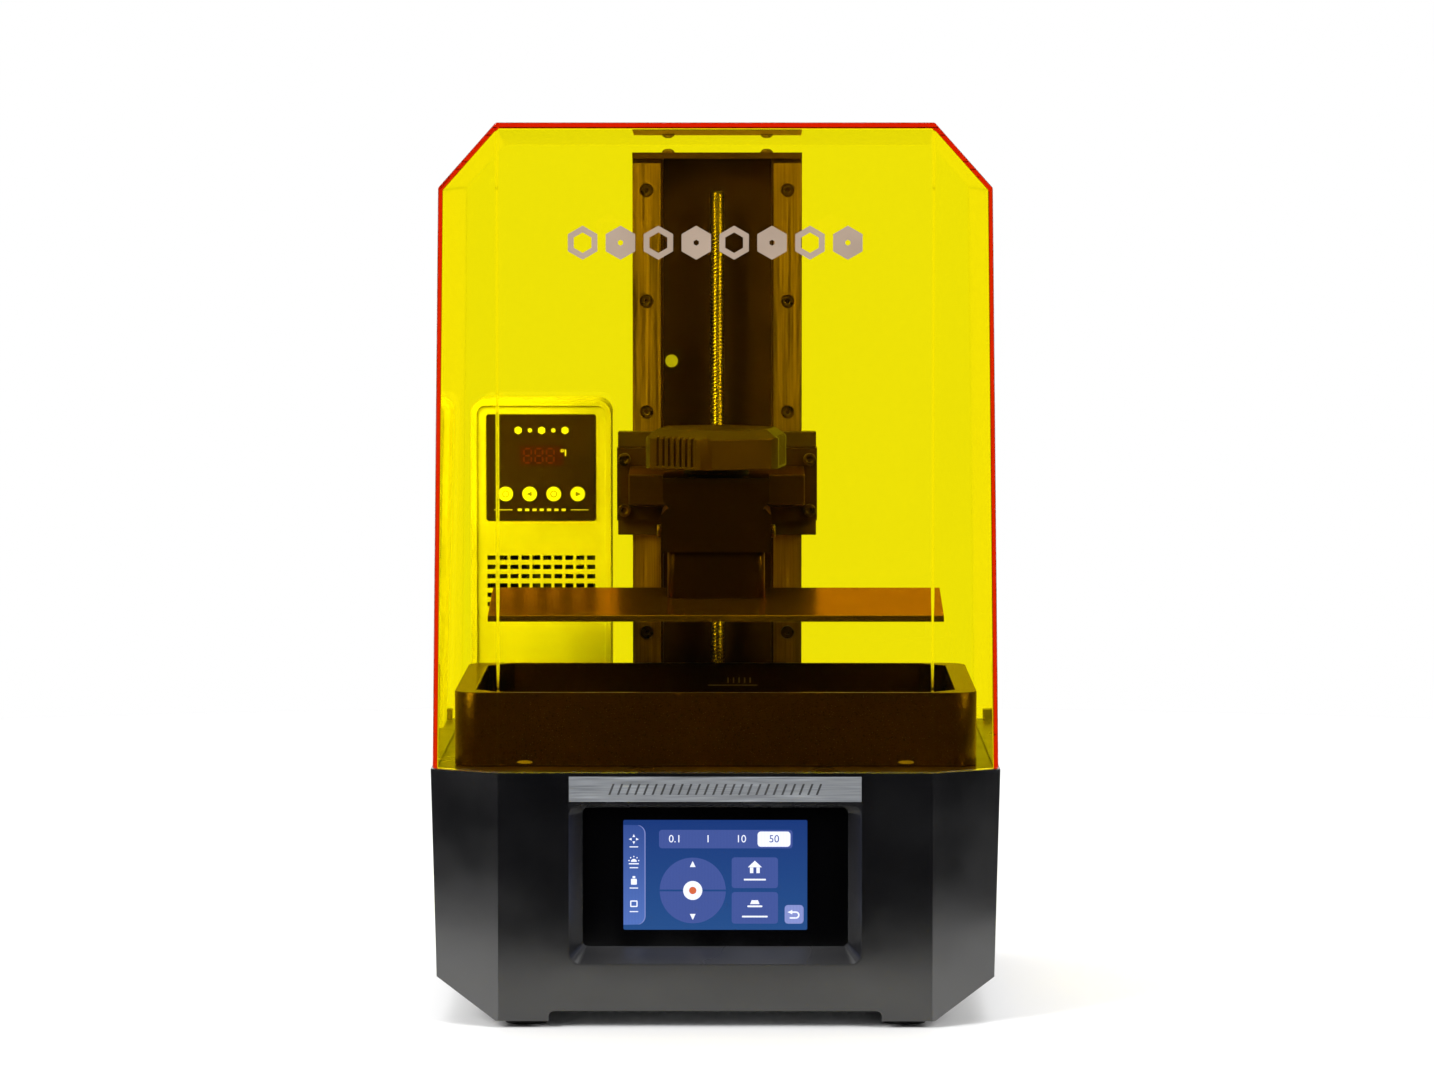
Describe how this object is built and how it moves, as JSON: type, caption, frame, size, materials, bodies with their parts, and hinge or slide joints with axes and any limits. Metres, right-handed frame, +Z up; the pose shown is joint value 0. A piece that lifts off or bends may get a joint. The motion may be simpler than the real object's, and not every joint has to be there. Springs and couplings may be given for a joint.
{
  "type": "resin printer",
  "caption": "Desktop mask-LCD resin printer with a lift-off amber cover, a resin vat, a build platform on a vertical axis and a front touch screen.",
  "frame": {"origin": "on the floor, under the middle of the machine's box", "axes": "+X to the right seen from the front, +Y to the back, +Z up"},
  "size_m": [0.292, 0.27, 0.461],
  "materials": {
    "base_black": "satin moulded plastic",
    "bezel_grey": "satin moulded plastic",
    "deck_black": "fine powder coat",
    "floor_steel": "powder coated sheet",
    "foot_rubber": "matt rubber",
    "screw_steel": "machined steel",
    "screen_glass": "black glass",
    "screen_lit": "lit display",
    "trim_brushed": "brushed along its length",
    "mask_glass": "dark exposure screen",
    "engine_black": "black moulding",
    "lens_clear": "clear lens sheet",
    "board_green": "circuit board",
    "heatsink_alloy": "extruded aluminium",
    "fan_black": "black moulding",
    "grille_black": "powder coat",
    "rocker_black": "semi-gloss plastic",
    "port_steel": "plated steel",
    "column_black": "black anodised",
    "rail_steel": "ground steel",
    "motor_black": "painted steel",
    "bearing_steel": "machined steel",
    "leadscrew_steel": "rolled thread",
    "nut_brass": "machined brass",
    "end_cap_black": "moulded end caps",
    "carriage_black": "black anodised",
    "plate_alloy": "fine blasted and laser-etched face",
    "clamp_black": "black anodised",
    "knob_black": "moulded plastic",
    "vat_black": "black anodised aluminium",
    "ring_steel": "machined ring",
    "film_clear": "clear release film",
    "cover_amber": "transparent amber acrylic",
    "heater_grey": "light grey moulding",
    "panel_black": "gloss black panel",
    "display_red": "dark red display window",
    "button_white": "white moulding"
  },
  "bodies": {
    "base": {"base_shell": "base_black", "bottom_plate": "floor_steel", "deck_plate": "deck_black", "screen_bezel": "bezel_grey", "touch_glass": "screen_glass", "display_panel": "screen_lit", "trim_plate": "trim_brushed", "rubber_feet": "foot_rubber", "foot_screws": "screw_steel", "mask_lcd": "mask_glass", "light_housing": "engine_black", "collimating_lens": "lens_clear", "uv_led_array": "board_green", "led_heatsink": "heatsink_alloy", "mainboard": "board_green", "power_inlet": "engine_black", "cooling_fan_frame": "fan_black", "fan_grille": "grille_black", "switch_housing": "engine_black", "usb_port": "port_steel", "cover_stops": "deck_black", "column": "column_black", "column_cap": "column_black", "cap_screws": "screw_steel", "linear_rails": "rail_steel", "rail_screws": "screw_steel", "screw_bearing": "bearing_steel", "z_motor": "motor_black", "motor_bracket": "floor_steel", "limit_sensor": "engine_black", "heater_case": "heater_grey", "heater_back": "heater_grey", "heater_panel": "panel_black", "heater_display": "display_red", "heater_fan_frame": "fan_black"},
    "cover": {"cover_shell": "cover_amber"},
    "vat": {"vat_frame": "vat_black", "vat_film": "film_clear", "film_clamp": "ring_steel"},
    "carriage": {"slider_blocks": "rail_steel", "block_end_caps": "end_cap_black", "carriage_plate": "carriage_black", "support_arm": "carriage_black", "lead_nut": "nut_brass", "carriage_screws": "screw_steel"},
    "screw": {"lead_screw": "leadscrew_steel", "motor_coupler": "heatsink_alloy"},
    "platform": {"build_plate": "plate_alloy", "plate_neck": "clamp_black", "clamp_body": "clamp_black", "clamp_pins": "screw_steel"},
    "knob": {"lock_knob": "knob_black", "clamp_screw": "screw_steel"},
    "rocker": {"power_rocker": "rocker_black"},
    "base_fan": {"cooling_fan_rotor": "fan_black"},
    "heater_fan": {"heater_fan_rotor": "fan_black"},
    "button_1": {"heater_button_1": "button_white"},
    "button_2": {"heater_button_2": "button_white"},
    "button_3": {"heater_button_3": "button_white"},
    "button_4": {"heater_button_4": "button_white"}
  },
  "joints": [
    {"name": "cover_lift", "type": "slide", "parent": "base", "child": "cover", "axis": [0, 0, 1], "range_m": [0, 0.335]},
    {"name": "vat_slide", "type": "slide", "parent": "base", "child": "vat", "axis": [0, -1, 0], "range_m": [0, 0.016]},
    {"name": "z_travel", "type": "slide", "parent": "base", "child": "carriage", "axis": [0, 0, 1], "range_m": [-0.069, 0.126]},
    {"name": "screw_turn", "type": "hinge", "parent": "base", "child": "screw", "pos_m": [0, 0.083, 0.27], "axis": [0, 0, 1], "range_deg": [-5680, 3115]},
    {"name": "platform_slide", "type": "slide", "parent": "carriage", "child": "platform", "axis": [0, -1, 0], "range_m": [0, 0.042]},
    {"name": "knob_turn", "type": "hinge", "parent": "platform", "child": "knob", "pos_m": [0, -0.0175, 0.29], "axis": [0, 0, 1], "range_deg": [0, 540]},
    {"name": "rocker_tilt", "type": "hinge", "parent": "base", "child": "rocker", "pos_m": [0.1396, -0.063, 0.086], "axis": [0, -1, 0], "range_deg": [0, 16]},
    {"name": "base_fan_spin", "type": "hinge", "parent": "base", "child": "base_fan", "pos_m": [0.078, 0.12, 0.07], "axis": [0, 1, 0], "continuous": true},
    {"name": "heater_fan_spin", "type": "hinge", "parent": "base", "child": "heater_fan", "pos_m": [-0.096, 0.091, 0.205], "axis": [0, 1, 0], "continuous": true},
    {"name": "button_1_press", "type": "slide", "parent": "base", "child": "button_1", "axis": [0, 1, 0], "range_m": [0, 0.0006], "stiffness_N_per_m": 400},
    {"name": "button_2_press", "type": "slide", "parent": "base", "child": "button_2", "axis": [0, 1, 0], "range_m": [0, 0.0006], "stiffness_N_per_m": 400},
    {"name": "button_3_press", "type": "slide", "parent": "base", "child": "button_3", "axis": [0, 1, 0], "range_m": [0, 0.0006], "stiffness_N_per_m": 400},
    {"name": "button_4_press", "type": "slide", "parent": "base", "child": "button_4", "axis": [0, 1, 0], "range_m": [0, 0.0006], "stiffness_N_per_m": 400}
  ],
  "couplings": [
    {"joint": "screw_turn", "follows": "z_travel", "rad_per_m": -785.4}
  ]
}
